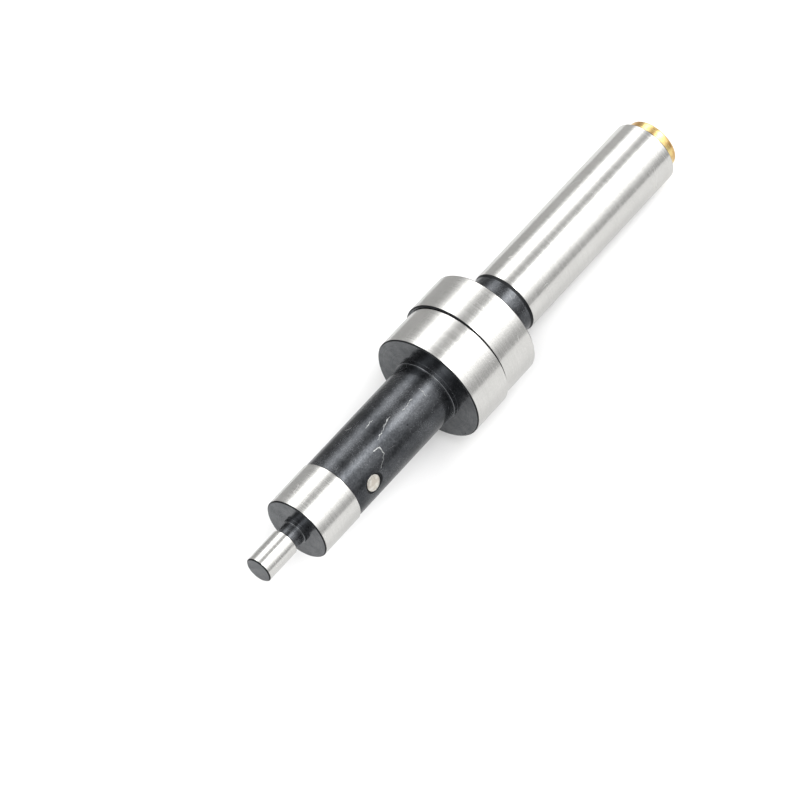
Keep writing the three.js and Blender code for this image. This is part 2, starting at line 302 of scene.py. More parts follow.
# The same oxide on faces that were cut square across the axis and polished. The tool's rings run
# round the axis, and the face is smooth enough to mirror what stands on it.
facedFinish = {
    "deep": "5c5e61",
    "rubbed": "7a7c7e",
    "pit": "17181a",
    "roughness": (0.14, 0.24),
    "ring": 0.17,         # mm between rings
    "ringDepth": 0.0006,  # mm
    "cloud": 1.6,         # mm across the lighter and darker places
    "pitSpacing": 2.6,    # mm
}


def facedOxide():
    s = facedFinish
    material, tree, shader, place = newMaterial("blackOxideOnFacedSteel")
    flat = addNode(tree, "ShaderNodeVectorMath", {0: place, 1: (0, 1, 1)}, operation="MULTIPLY")
    radius = addNode(tree, "ShaderNodeVectorMath", {0: flat.outputs[0]}, operation="LENGTH")
    rings = addNode(tree, "ShaderNodeTexNoise",
                    {"W": radius.outputs["Value"], "Scale": 1 / (s["ring"] * mm), "Detail": 3.0},
                    noise_dimensions="1D")
    cloud = addNode(tree, "ShaderNodeTexNoise",
                    {"Vector": place, "Scale": 1 / (s["cloud"] * mm), "Detail": 6.0, "Roughness": 0.72})
    mottle = addNode(tree, "ShaderNodeMath",
                     {0: rings.outputs["Fac"], 1: 0.3, 2: cloud.outputs["Fac"]}, operation="MULTIPLY_ADD")
    tone = addNode(tree, "ShaderNodeValToRGB", {"Fac": mottle.outputs[0]})
    setRamp(tone, [(0.5, s["deep"]), (0.8, s["rubbed"])])
    cells = addNode(tree, "ShaderNodeTexVoronoi", {"Vector": place, "Scale": 1 / (s["pitSpacing"] * mm)})
    dot = addNode(tree, "ShaderNodeMapRange",
                  {"Value": cells.outputs["Distance"], "From Min": 0.03, "From Max": 0.06,
                   "To Min": 1.0, "To Max": 0.0})
    pitted = addNode(tree, "ShaderNodeMix",
                     {0: dot.outputs[0], 6: tone.outputs["Color"], 7: colourOf(s["pit"])}, data_type="RGBA")
    tree.links.new(pitted.outputs[2], shader.inputs["Base Color"])
    rough = addNode(tree, "ShaderNodeMapRange",
                    {"Value": mottle.outputs[0], "From Min": 0.45, "From Max": 0.85,
                     "To Min": s["roughness"][0], "To Max": s["roughness"][1]})
    tree.links.new(rough.outputs[0], shader.inputs["Roughness"])
    bump = addNode(tree, "ShaderNodeBump",
                   {"Height": rings.outputs["Fac"], "Strength": 1.0, "Distance": s["ringDepth"] * mm})
    tree.links.new(bump.outputs[0], shader.inputs["Normal"])
    shader.inputs["Metallic"].default_value = 1.0
    return material


# Oxide left rough from the cut, in the chamfers, the bore and the pin's seat. The oxide is real, but its
# dull near-black, darker than the oxide beside it, is painted shade that draws a dark line round each
# bright diameter and a dark ring round the pin.
edgeOxideAndShadeFinish = {
    # deep and pale are darker than the oxide elsewhere: painted shade on real oxide
    "deep": "1c1d1f",
    "pale": "2c2e30",
    "roughness": (0.35, 0.55),
    "grain": 0.1,         # mm
    "grainDepth": 0.002,  # mm
}


def edgeOxideAndPaintedShade():
    s = edgeOxideAndShadeFinish
    material, tree, shader, place = newMaterial("roughBlackOxideAndPaintedShade")
    grain = addNode(tree, "ShaderNodeTexNoise",
                    {"Vector": place, "Scale": 1 / (s["grain"] * mm), "Detail": 3.0})
    tone = addNode(tree, "ShaderNodeValToRGB", {"Fac": grain.outputs["Fac"]})
    setRamp(tone, [(0.4, s["deep"]), (0.65, s["pale"])])
    tree.links.new(tone.outputs["Color"], shader.inputs["Base Color"])
    rough = addNode(tree, "ShaderNodeMapRange",
                    {"Value": grain.outputs["Fac"],
                     "To Min": s["roughness"][0], "To Max": s["roughness"][1]})
    tree.links.new(rough.outputs[0], shader.inputs["Roughness"])
    bump = addNode(tree, "ShaderNodeBump",
                   {"Height": grain.outputs["Fac"], "Distance": s["grainDepth"] * mm})
    tree.links.new(bump.outputs[0], shader.inputs["Normal"])
    shader.inputs["Metallic"].default_value = 0.8
    return material


# Hardened dowel, cut off and its ends polished by hand after it was driven in: warm, bright, with
# small facets and cross scratches on the end.
dowelFinish = {
    "bright": "eeebe4",
    "warm": "d3ccc0",
    "roughness": (0.24, 0.4),
    "scratch": 0.18,      # mm across a scratch
    "scratchLength": 2.5,
    "scratchDepth": 0.004,
    "cloud": 0.9,         # mm across the warmer and brighter places
}


def dowelSteel():
    s = dowelFinish
    material, tree, shader, place = newMaterial("polishedDowelSteel")
    cloud = addNode(tree, "ShaderNodeTexNoise",
                    {"Vector": place, "Scale": 1 / (s["cloud"] * mm), "Detail": 3.0})
    tone = addNode(tree, "ShaderNodeValToRGB", {"Fac": cloud.outputs["Fac"]})
    setRamp(tone, [(0.4, s["warm"]), (0.6, s["bright"])])
    tree.links.new(tone.outputs["Color"], shader.inputs["Base Color"])
    along, across = 1 / (s["scratch"] * mm), 1 / (s["scratchLength"] * mm)
    linePlace = addNode(tree, "ShaderNodeMapping", {"Vector": place, "Scale": (along, across, across)})
    lines = addNode(tree, "ShaderNodeTexNoise",
                    {"Vector": linePlace.outputs[0], "Scale": 1.0, "Detail": 2.0})
    rough = addNode(tree, "ShaderNodeMapRange",
                    {"Value": lines.outputs["Fac"], "From Min": 0.3, "From Max": 0.7,
                     "To Min": s["roughness"][0], "To Max": s["roughness"][1]})
    tree.links.new(rough.outputs[0], shader.inputs["Roughness"])
    bump = addNode(tree, "ShaderNodeBump",
                   {"Height": lines.outputs["Fac"], "Distance": s["scratchDepth"] * mm})
    tree.links.new(bump.outputs[0], shader.inputs["Normal"])
    shader.inputs["Metallic"].default_value = 1.0
    return material


# Free-cutting brass, turned and handled. It keeps its tool rings and has browned in patches.
brassFinish = {
    "bright": "f8de98",
    "brown": "dab074",
    "roughness": (0.18, 0.32),
    "ring": 0.11,         # mm between rings
    "ringDepth": 0.002,   # mm
    "patch": 1.7,         # mm across a browned patch
}


def turnedBrass():
    s = brassFinish
    material, tree, shader, place = newMaterial("turnedBrass")
    patch = addNode(tree, "ShaderNodeTexNoise",
                    {"Vector": place, "Scale": 1 / (s["patch"] * mm), "Detail": 4.0, "Roughness": 0.6})
    tone = addNode(tree, "ShaderNodeValToRGB", {"Fac": patch.outputs["Fac"]})
    setRamp(tone, [(0.4, s["brown"]), (0.56, s["bright"])])
    tree.links.new(tone.outputs["Color"], shader.inputs["Base Color"])
    flat = addNode(tree, "ShaderNodeVectorMath", {0: place, 1: (0, 1, 1)}, operation="MULTIPLY")
    radius = addNode(tree, "ShaderNodeVectorMath", {0: flat.outputs[0]}, operation="LENGTH")
    split = addNode(tree, "ShaderNodeSeparateXYZ", {0: place})
    ringPlace = addNode(tree, "ShaderNodeCombineXYZ",
                        {"X": split.outputs["X"], "Y": radius.outputs["Value"]})
    rings = addNode(tree, "ShaderNodeTexNoise",
                    {"Vector": ringPlace.outputs[0], "Scale": 1 / (s["ring"] * mm), "Detail": 2.0})
    rough = addNode(tree, "ShaderNodeMapRange",
                    {"Value": rings.outputs["Fac"], "From Min": 0.3, "From Max": 0.7,
                     "To Min": s["roughness"][0], "To Max": s["roughness"][1]})
    tree.links.new(rough.outputs[0], shader.inputs["Roughness"])
    bump = addNode(tree, "ShaderNodeBump",
                   {"Height": rings.outputs["Fac"], "Distance": s["ringDepth"] * mm})
    tree.links.new(bump.outputs[0], shader.inputs["Normal"])
    shader.inputs["Metallic"].default_value = 1.0
    return material


# Hard-drawn spring wire: the die leaves lines along it, under a thin grey film of oil and oxide.
wireFinish = {
    "bright": "a9abae",
    "dull": "85878b",
    "roughness": (0.25, 0.42),
    "film": 1.4,          # mm across a patch of it
    "line": 0.09,         # mm between lines
    "lineDepth": 0.001,   # mm
}


def springWire():
    s = wireFinish
    material, tree, shader, place = newMaterial("drawnSpringWire")
    film = addNode(tree, "ShaderNodeTexNoise",
                   {"Vector": place, "Scale": 1 / (s["film"] * mm), "Detail": 3.0})
    tone = addNode(tree, "ShaderNodeValToRGB", {"Fac": film.outputs["Fac"]})
    setRamp(tone, [(0.4, s["dull"]), (0.62, s["bright"])])
    tree.links.new(tone.outputs["Color"], shader.inputs["Base Color"])
    lines = addNode(tree, "ShaderNodeTexNoise",
                    {"Vector": place, "Scale": 1 / (s["line"] * mm), "Detail": 2.0})
    rough = addNode(tree, "ShaderNodeMapRange",
                    {"Value": lines.outputs["Fac"],
                     "To Min": s["roughness"][0], "To Max": s["roughness"][1]})
    tree.links.new(rough.outputs[0], shader.inputs["Roughness"])
    bump = addNode(tree, "ShaderNodeBump",
                   {"Height": lines.outputs["Fac"], "Distance": s["lineDepth"] * mm})
    tree.links.new(bump.outputs[0], shader.inputs["Normal"])
    shader.inputs["Metallic"].default_value = 1.0
    return material


# What a turned face is finished with. An outline's point names the finish up to the next point.
# The edge finish is real oxide made darker as painted shade in the chamfers, bores and seats.
finishes = {"turned": blackOxide, "ground": groundSteel, "faced": facedOxide, "edge": edgeOxideAndPaintedShade}
finishNames = list(finishes)


def newTree(name, sockets):  # returns the tree and its inputs, whose names and kinds are given
    tree = bpy.data.node_groups.new(name, "GeometryNodeTree")
    for label, kind in sockets.items():
        tree.interface.new_socket(label, in_out="INPUT", socket_type="NodeSocket" + kind)
    tree.interface.new_socket("Geometry", in_out="OUTPUT", socket_type="NodeSocketGeometry")
    return tree, addNode(tree, "NodeGroupInput").outputs


# The lathe tree turns an outline, which is the points of the incoming mesh in order as (x, radius),
# about the line y = Axis Y, z = 0. A face takes its finish by its outline point's number.
def latheTree():
    sockets = {"Outline": "Geometry", "Segments": "Int", "Axis Y": "Float"}
    sockets.update(dict.fromkeys(finishNames, "Material"))
    tree, given = newTree("turnedOutline", sockets)
    count = addNode(tree, "GeometryNodeAttributeDomainSize", {0: given["Outline"]}, component="MESH")
    columns = addNode(tree, "ShaderNodeMath", {0: given["Segments"], 1: 1.0}, operation="ADD")
    grid = addNode(tree, "GeometryNodeMeshGrid",
                   {"Vertices X": count.outputs["Point Count"], "Vertices Y": columns.outputs[0]})
    index = addNode(tree, "GeometryNodeInputIndex").outputs[0]
    middle = addNode(tree, "ShaderNodeMath", {0: index, 1: 0.5}, operation="ADD").outputs[0]

    faceRow = addNode(tree, "ShaderNodeMath", {0: middle, 1: given["Segments"]}, operation="DIVIDE")
    faceRing = addNode(tree, "ShaderNodeMath", {0: faceRow.outputs[0]}, operation="FLOOR")
    finish = addNode(tree, "GeometryNodeInputNamedAttribute", {"Name": "finish"}, data_type="FLOAT")
    finishHere = addNode(tree, "GeometryNodeSampleIndex",
                         {"Geometry": given["Outline"], "Value": finish.outputs[0],
                          "Index": faceRing.outputs[0]}, data_type="FLOAT", domain="POINT")
    marked = addNode(tree, "GeometryNodeStoreNamedAttribute",
                     {"Geometry": grid.outputs["Mesh"], "Name": "finish", "Value": finishHere.outputs[0]},
                     data_type="FLOAT", domain="FACE")

    row = addNode(tree, "ShaderNodeMath", {0: middle, 1: columns.outputs[0]}, operation="DIVIDE")
    ring = addNode(tree, "ShaderNodeMath", {0: row.outputs[0]}, operation="FLOOR")
    step = addNode(tree, "ShaderNodeMath", {0: index, 1: columns.outputs[0]}, operation="MODULO")
    share = addNode(tree, "ShaderNodeMath", {0: step.outputs[0], 1: given["Segments"]}, operation="DIVIDE")
    angle = addNode(tree, "ShaderNodeMath", {0: share.outputs[0], 1: math.tau}, operation="MULTIPLY")
    position = addNode(tree, "GeometryNodeInputPosition")
    point = addNode(tree, "GeometryNodeSampleIndex",
                    {"Geometry": given["Outline"], "Value": position.outputs[0],
                     "Index": ring.outputs[0]}, data_type="FLOAT_VECTOR", domain="POINT")
    outline = addNode(tree, "ShaderNodeSeparateXYZ", {0: point.outputs[0]})
    sine = addNode(tree, "ShaderNodeMath", {0: angle.outputs[0]}, operation="SINE")
    cosine = addNode(tree, "ShaderNodeMath", {0: angle.outputs[0]}, operation="COSINE")
    y = addNode(tree, "ShaderNodeMath",
                {0: outline.outputs["Y"], 1: sine.outputs[0], 2: given["Axis Y"]},
                operation="MULTIPLY_ADD")
    z = addNode(tree, "ShaderNodeMath", {0: outline.outputs["Y"], 1: cosine.outputs[0]},
                operation="MULTIPLY")
    place = addNode(tree, "ShaderNodeCombineXYZ",
                    {"X": outline.outputs["X"], "Y": y.outputs[0], "Z": z.outputs[0]})
    laid = addNode(tree, "GeometryNodeSetPosition",
                   {"Geometry": marked.outputs[0], "Position": place.outputs[0]})
    closed = addNode(tree, "GeometryNodeMergeByDistance", {"Geometry": laid.outputs[0], "Distance": 1e-7})
    smooth = addNode(tree, "GeometryNodeSetShadeSmooth", {"Geometry": closed.outputs[0]})
    last = addNode(tree, "GeometryNodeRealizeInstances", {"Geometry": smooth.outputs[0]})
    for number, name in enumerate(finishNames):
        chosen = addNode(tree, "ShaderNodeMath", {0: finish.outputs[0], 1: float(number), 2: 0.1},
                         operation="COMPARE")
        last = addNode(tree, "GeometryNodeSetMaterial",
                       {"Geometry": last.outputs[0], "Selection": chosen.outputs[0],
                        "Material": given[name]})
    addNode(tree, "NodeGroupOutput", {0: last.outputs[0]})
    return tree


def newObject(name, mesh):
    added = bpy.data.objects.new(name, mesh)
    bpy.context.scene.collection.objects.link(added)
    return added


def plainMesh(piece):  # the mesh that its modifiers make
    bpy.context.view_layer.update()
    evaluated = piece.evaluated_get(bpy.context.evaluated_depsgraph_get())
    return bpy.data.meshes.new_from_object(evaluated)


def grown(source, tree, name, sizes):  # runs a tree on a mesh and keeps the result as a plain mesh
    modifier = source.modifiers.new("shape", "NODES")
    modifier.node_group = tree
    for label, value in sizes.items():
        modifier[tree.interface.items_tree[label].identifier] = value
    mesh = plainMesh(source)
    mesh.name = name
    bpy.data.objects.remove(source)
    return newObject(name, mesh)


def faceOutwards(piece):
    shell = bmesh.new()
    shell.from_mesh(piece.data)
    bmesh.ops.recalc_face_normals(shell, faces=shell.faces)
    shell.to_mesh(piece.data)
    shell.free()


# Rounds each corner of an outline a little, as a stone leaves it. A point more on each side keeps
# the faces beside the corner flat. A point is (x, radius, finish up to the next point).
def softened(points, edgeRound, steps=3, keepFlat=2.5):
    soft = [points[0]]
    for before, here, after in zip(points, points[1:], points[2:]):
        corner = Vector(here[:2])
        back, on = Vector(before[:2]) - corner, Vector(after[:2]) - corner
        half = back.angle(on) / 2
        shorter = min(back.length, on.length)
        cut = min(edgeRound / math.tan(half), 0.3 * shorter)
        hold = min(keepFlat * cut, 0.45 * shorter)   # a side is also cut at its other end
        start, end = corner + back.normalized() * cut, corner + on.normalized() * cut
        soft.append((*(corner + back.normalized() * hold), before[2]))
        for i in range(steps + 1):
            t = i / steps
            spot = start * (1 - t) ** 2 + corner * 2 * t * (1 - t) + end * t ** 2
            soft.append((*spot, before[2] if t < 0.5 else here[2]))
        soft.append((*(corner + on.normalized() * hold), here[2]))
    return [*soft, points[-1]]


def turned(name, points, segments, axisY=0.0, only=None):  # points in mm, axisY in metres
    mesh = bpy.data.meshes.new(name)
    mesh.from_pydata([(x * mm, radius * mm, 0) for x, radius, _ in points], [], [])
    marks = mesh.attributes.new("finish", "FLOAT", "POINT")
    marks.data.foreach_set("value", [float(finishNames.index(finish)) for _, _, finish in points])
    sizes = {"Segments": segments, "Axis Y": axisY}
    sizes.update({finish: only or made[finish] for finish in finishNames})
    piece = grown(newObject(name, mesh), lathe, name, sizes)
    faceOutwards(piece)
    return piece


sharpAngle = math.radians(28)     # between faces that a boolean leaves as an edge


def boolean(piece, tool, operation):  # cuts or joins, and removes the tool
    modifier = piece.modifiers.new("boolean", "BOOLEAN")
    modifier.operation, modifier.object, modifier.solver = operation, tool, "EXACT"
    result = plainMesh(piece)
    piece.modifiers.clear()
    piece.data = result
    bpy.data.objects.remove(tool)


# On a drum, each corner's normal points straight out from the axis, so that the long faces round a
# cut hole still shade as one round surface.
def roundOff(piece, axisY, radius):
    mesh = piece.data
    normals = [(0, 0, 0)] * len(mesh.loops)
    for face in mesh.polygons:
        middle = Vector((0, face.center.y - axisY, face.center.z))
        if abs(face.normal.x) > 0.02 or abs(middle.length - radius) > 0.01 * radius:
            continue     # not on the drum
        for loop in face.loop_indices:
            spot = mesh.vertices[mesh.loops[loop].vertex_index].co
            normals[loop] = Vector((0, spot.y - axisY, spot.z)).normalized()
    mesh.normals_split_custom_set(normals)


stylusSizes = {  # mm, from the tip's end face
    "tip": (4.0, 5.77),          # diameter, length
    "tipNeck": (3.46, 1.68),
    "tipCollar": (3.92, 0.6),
    "head": (10.0, 7.59),
    "body": (9.72, 20.21),
    "rootCollar": (10.2, 0.68),
    "chamfer": 0.16,
    "wornEdge": 0.07,            # the collars' corners, a little lighter than the rest
    "edgeRound": 0.04,
    "bore": 6.0,
    "boreChamfer": 0.3,
    "boreFromTip": 16.64,        # where the drill's full width ends
    "drillPoint": 118.0,         # degrees
    "segments": 256,
}
pinSizes = {  # mm
    "diameter": 2.4,
    "fromHead": 3.56,
    "turn": 62.2,                # degrees from straight up, towards -Y
    "clearance": 0.02,
    "seatWidth": 0.42,
    "seatDepth": 0.3,
    "chamferLength": 0.12,
    "chamferWidth": 0.3,
    "crown": 0.03,
    "edgeRound": 0.05,
    "segments": 96,
}

stylusLow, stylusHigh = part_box("stylus")
stylusAxisY = (stylusLow.y + stylusHigh.y) / 2
discRadius = (stylusHigh.z - stylusLow.z) / 2
headEndX = stylusLow.x + mm * sum(stylusSizes[k][1] for k in ("tip", "tipNeck", "tipCollar", "head"))
bodyRadius = stylusSizes["body"][0] / 2     # mm
pinX = headEndX + pinSizes["fromHead"] * mm
pinTurn = math.radians(pinSizes["turn"])
pinDirection = Vector((0, -math.sin(pinTurn), math.cos(pinTurn)))
made = {name: make() for name, make in finishes.items()}
lathe = latheTree()
print("stage: finishes and lathe ready")


def stylusOutline():
    s = stylusSizes
    c = s["chamfer"]
    tip, neck, collar, head, body, root = (
        s[k][0] / 2 for k in ("tip", "tipNeck", "tipCollar", "head", "body", "rootCollar"))
    neckX = s["tip"][1]
    collarX = neckX + s["tipNeck"][1]
    headX = collarX + s["tipCollar"][1]
    bodyX = headX + s["head"][1]
    rootX = bodyX + s["body"][1]
    discX = rootX + s["rootCollar"][1]
    lapX, disc = (stylusHigh.x - stylusLow.x) / mm, discRadius / mm
    bore = s["bore"] / 2
    point = bore / math.tan(math.radians(s["drillPoint"] / 2))
    mouth = bore + s["boreChamfer"]
    worn = s["wornEdge"]
    # Points marked edge take the edge finish: near-black oxide, partly painted shade.
    points = [
        (0, 0, "faced"), (0, tip - c, "edge"), (c, tip, "ground"), (neckX - c, tip, "edge"),
        (neckX, tip - c, "edge"), (neckX, neck, "turned"), (collarX, neck, "faced"),
        (collarX, collar - worn, "faced"), (collarX + worn, collar, "turned"), (headX, collar, "faced"),
        (headX, head - c, "edge"), (headX + c, head, "ground"), (bodyX - c, head, "edge"),
        (bodyX, body, "turned"), (rootX, body, "faced"), (rootX, root - worn, "faced"),
        (rootX + worn, root, "turned"), (discX, root, "faced"), (discX, disc - c, "edge"),
        (discX + c, disc, "ground"), (lapX - c, disc, "edge"), (lapX, disc - c, "faced"),
        (lapX, mouth, "edge"), (lapX - s["boreChamfer"], bore, "edge"), (s["boreFromTip"], bore, "edge"),
        (s["boreFromTip"] - point, 0, "edge"),
    ]
    return [(stylusLow.x / mm + x, r, finish) for x, r, finish in softened(points, s["edgeRound"])]


def alongPin(piece):  # lays a piece that was turned about X along the cross pin
    turn = Vector((1, 0, 0)).rotation_difference(pinDirection).to_matrix().to_4x4()
    piece.data.transform(Matrix.Translation((pinX, stylusAxisY, 0)) @ turn)


def makeStylus():
    piece = turned("finishedStylus", stylusOutline(), stylusSizes["segments"], stylusAxisY)
    s = pinSizes
    hole = s["diameter"] / 2 + s["clearance"]
    seat, far = bodyRadius - s["seatDepth"], bodyRadius + 1     # the drill reaches past the body
    wide = hole + s["seatWidth"] * (far - seat) / s["seatDepth"]
    points = [(-far, 0), (-far, wide), (-seat, hole), (seat, hole), (far, wide), (far, 0)]
    # The drill's edge finish goes to the hole and the pin's seat: near-black oxide, partly painted shade.
    drill = turned("pinDrill", [(*point, "edge") for point in points], s["segments"])
    alongPin(drill)
    boolean(piece, drill, "DIFFERENCE")
    piece.data.set_sharp_from_angle(angle=sharpAngle)
    roundOff(piece, stylusAxisY, bodyRadius * mm)
    return piece


def makePin():
    s = pinSizes
    pinLow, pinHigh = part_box("cross_pin")
    radius = s["diameter"] / 2
    reach = (pinHigh.z - pinLow.z) / 2 / mm     # half its height, up to the slanting shoulder
    shoulder = (reach - radius * math.sin(pinTurn)) / math.cos(pinTurn)
    rim, end = radius - s["chamferWidth"], shoulder + s["chamferLength"]
    points = [(-end, 0), (-end + s["crown"], rim), (-shoulder, radius),
              (shoulder, radius), (end - s["crown"], rim), (end, 0)]
    soft = softened([(*point, "ground") for point in points], s["edgeRound"])
    piece = turned("finishedCrossPin", soft, s["segments"], only=dowelSteel())
    alongPin(piece)
    return piece


stylus = makeStylus()
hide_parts("stylus")
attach(stylus, "stylus")
crossPin = makePin()
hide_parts("cross_pin")
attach(crossPin, "stylus")
print("stage: stylus and cross pin ready")

shankSizes = {  # mm, from the lapped face
    "discLength": 6.61,
    "neck": (9.7, 3.92),         # diameter, length
    "leadLength": 0.42,
    "diameter": 10.0,
    "chamfer": 0.2,
    "edgeRound": 0.04,
    "segments": 256,
}


def makeShank():
    s = shankSizes
    low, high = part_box("shank")
    c, disc = s["chamfer"], (high.z - low.z) / 2 / mm
    endX = (high.x - low.x) / mm
    neckX = s["discLength"]
    leadX = neckX + s["neck"][1]
    bodyX = leadX + s["leadLength"]
    neck, radius = s["neck"][0] / 2, s["diameter"] / 2
    bore, b = stylusSizes["bore"] / 2, stylusSizes["boreChamfer"]
    middle = (bore + disc) / 2
    points = [
        # Points marked edge take the edge finish: near-black oxide, partly painted shade.
        (0, middle, "faced"), (0, disc - c, "edge"), (c, disc, "ground"), (neckX - c, disc, "edge"),
        (neckX, disc - c, "faced"), (neckX, neck, "turned"), (leadX, neck, "edge"),
        (bodyX, radius, "ground"), (endX - c, radius, "edge"), (endX, radius - c, "faced"),
        (endX, bore + b, "edge"), (endX - b, bore, "edge"), (b, bore, "edge"), (0, bore + b, "faced"),
        (0, middle, "faced"),
    ]
    outline = [(low.x / mm + x, r, finish) for x, r, finish in softened(points, s["edgeRound"])]
    return turned("finishedShank", outline, s["segments"], (low.y + high.y) / 2)


shank = makeShank()
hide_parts("shank")
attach(shank, "shank")
print("stage: shank ready")

plugSizes = {  # mm
    "button": (8.0, 1.86),       # diameter, length
    "buttonRound": 0.35,
    "stemClearance": 0.05,
    "stemLength": 2.2,
    "stemChamfer": 0.3,
    "edgeRound": 0.03,
    "tongue": (3.4, 1.6),        # width, thickness
    "eyeFromStem": 1.5,
    "eyeRadius": 0.55,
    "beyondEye": 0.8,
    "segments": 192,
}
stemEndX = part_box("shank")[1].x - plugSizes["stemLength"] * mm
eyeX = stemEndX - plugSizes["eyeFromStem"] * mm


def makeTongue(brass):  # a flat strip with a round nose, drilled across for the spring's hook
    s = plugSizes
    rootX = stemEndX / mm + s["stemLength"] / 2
    half, depth = s["tongue"][0] / 2, s["tongue"][1]
    noseX = eyeX / mm - s["eyeRadius"] - s["beyondEye"] + half
    nose = [math.radians(90 + 7.5 * i) for i in range(25)]
    outline = [(rootX, -half), (rootX, half)]
    outline += [(noseX + half * math.cos(a), half * math.sin(a)) for a in nose]
    strip = bmesh.new()
    rim = strip.faces.new([strip.verts.new((x * mm, y * mm, -depth / 2 * mm)) for x, y in outline])
    pushed = bmesh.ops.extrude_face_region(strip, geom=[rim])["geom"]
    bmesh.ops.translate(strip, vec=(0, 0, depth * mm),
                        verts=[v for v in pushed if isinstance(v, bmesh.types.BMVert)])
    bmesh.ops.recalc_face_normals(strip, faces=strip.faces)
    mesh = bpy.data.meshes.new("tongue")
    strip.to_mesh(mesh)
    strip.free()
    tongue = newObject("tongue", mesh)
    mesh.materials.append(brass)
    hole = [(-depth, 0), (-depth, s["eyeRadius"]), (depth, s["eyeRadius"]), (depth, 0)]
    drill = turned("eyeDrill", [(*point, "ground") for point in hole], 48, only=brass)
    drill.data.transform(Matrix.Translation((eyeX, 0, 0)) @ Matrix.Rotation(math.radians(90), 4, "Y"))
    boolean(tongue, drill, "DIFFERENCE")
    tongue.data.transform(Vector((0, 1, 0)).rotation_difference(pinDirection).to_matrix().to_4x4())
    return tongue


def makeEndPlug(brass):
    s = plugSizes
    endX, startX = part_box("end_plug")[1].x / mm, stemEndX / mm
    buttonX = endX - s["button"][1]
    stem, button = stylusSizes["bore"] / 2 - s["stemClearance"], s["button"][0] / 2
    edge, bevel = s["buttonRound"], s["stemChamfer"]
    arc = [math.radians(15 * i) for i in range(7)]
    points = [(startX, 0), (startX, stem - bevel), (startX + bevel, stem), (buttonX, stem),
              (buttonX, button)]
    points += [(endX - edge * (1 - math.sin(a)), button - edge * (1 - math.cos(a))) for a in arc]
    points.append((endX, 0))
    soft = softened([(*point, "ground") for point in points], s["edgeRound"])
    plug = turned("finishedEndPlug", soft, s["segments"], only=brass)
    boolean(plug, makeTongue(brass), "UNION")
    plug.data.set_sharp_from_angle(angle=sharpAngle)
    return plug


endPlug = makeEndPlug(turnedBrass())
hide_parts("end_plug")
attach(endPlug, "plug_and_spring")
print("stage: end plug ready")

springSizes = {  # mm
    "wire": 0.7,
    "turns": 48,
    "coilRadius": 1.95,
    "hookRadius": 1.9,
    "hookSweep": 225.0,          # degrees
    "hookNeck": 2.5,
    "neckPoints": 14,
    "hookPoints": 24,
    "frontHookX": 17.88,         # where the wire's inside pulls on the cross pin
    "backHookX": 83.02,          # and on the plug's eye
    "pointsPerTurn": 28,
    "sides": 12,
}


def springPath():  # half the wire, from the coil's middle to the end of its hook, and its mirror turn
    s = springSizes
    front = Vector((s["frontHookX"], stylusAxisY / mm, 0))
    back = Vector((s["backHookX"], 0, 0))
    coil, hook, neck = s["coilRadius"], s["hookRadius"], s["hookNeck"]
    hookCentre = (back - front).length / 2 - (hook - s["wire"] / 2)
    coilEnd = hookCentre - neck
    half = []
    steps = round(s["turns"] / 2 * s["pointsPerTurn"])
    for i in range(1, steps):
        angle = math.pi * s["turns"] * i / steps
        half.append(Vector((coilEnd * i / steps, coil * math.cos(angle), coil * math.sin(angle))))
    bend = [Vector((coilEnd, coil, 0)), Vector((coilEnd, coil, hook)),
            Vector((hookCentre - neck / 2, 0, hook)), Vector((hookCentre, 0, hook))]
    for i in range(s["neckPoints"]):
        t = i / s["neckPoints"]
        half.append(bend[0] * (1 - t) ** 3 + bend[1] * 3 * t * (1 - t) ** 2
                    + bend[2] * 3 * t * t * (1 - t) + bend[3] * t ** 3)
    for i in range(s["hookPoints"] + 1):
        angle = math.radians(s["hookSweep"]) * i / s["hookPoints"]
        half.append(Vector((hookCentre + hook * math.sin(angle), 0, hook * math.cos(angle))))
    other = [Vector((-p.x, p.y, -p.z)) for p in reversed(half)]
    path = [*other, Vector((0, coil, 0)), *half]

    along = (back - front).normalized()
    across = along.cross(pinDirection).normalized()
    upright = across.cross(along)
    basis = Matrix((along, upright, across)).transposed()
    return [(basis @ p + (front + back) / 2) * mm for p in path]


def wireTree():
    sockets = {"Path": "Geometry", "Radius": "Float", "Sides": "Int", "Wire": "Material"}
    tree, given = newTree("roundWire", sockets)
    line = addNode(tree, "GeometryNodeMeshToCurve", {0: given["Path"]})
    section = addNode(tree, "GeometryNodeCurvePrimitiveCircle",
                      {"Resolution": given["Sides"], "Radius": given["Radius"]})
    wire = addNode(tree, "GeometryNodeCurveToMesh",
                   {"Curve": line.outputs[0], "Profile Curve": section.outputs[0], "Fill Caps": True})
    smooth = addNode(tree, "GeometryNodeSetShadeSmooth", {"Geometry": wire.outputs[0]})
    real = addNode(tree, "GeometryNodeRealizeInstances", {"Geometry": smooth.outputs[0]})
    finished = addNode(tree, "GeometryNodeSetMaterial",
                       {"Geometry": real.outputs[0], "Material": given["Wire"]})
    addNode(tree, "NodeGroupOutput", {0: finished.outputs[0]})
    return tree


def makeSpring():
    path = springPath()
    mesh = bpy.data.meshes.new("springPath")
    mesh.from_pydata(path, [(i, i + 1) for i in range(len(path) - 1)], [])
    sizes = {"Radius": springSizes["wire"] / 2 * mm, "Sides": springSizes["sides"], "Wire": springWire()}
    piece = grown(newObject("springPath", mesh), wireTree(), "finishedSpring", sizes)
    faceOutwards(piece)
    piece.data.set_sharp_from_angle(angle=math.radians(50))
    return piece


spring = makeSpring()
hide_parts("tension_spring")
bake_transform(spring)
print("stage: spring ready")

cameraSizes = {  # mm and degrees
    "place": (-235.558, -167.682, 523.361),
    "right": (0.61373, -0.78721, 0.06034),
    "up": (0.65661, 0.55135, 0.51466),
    "lens": 204.11,
}


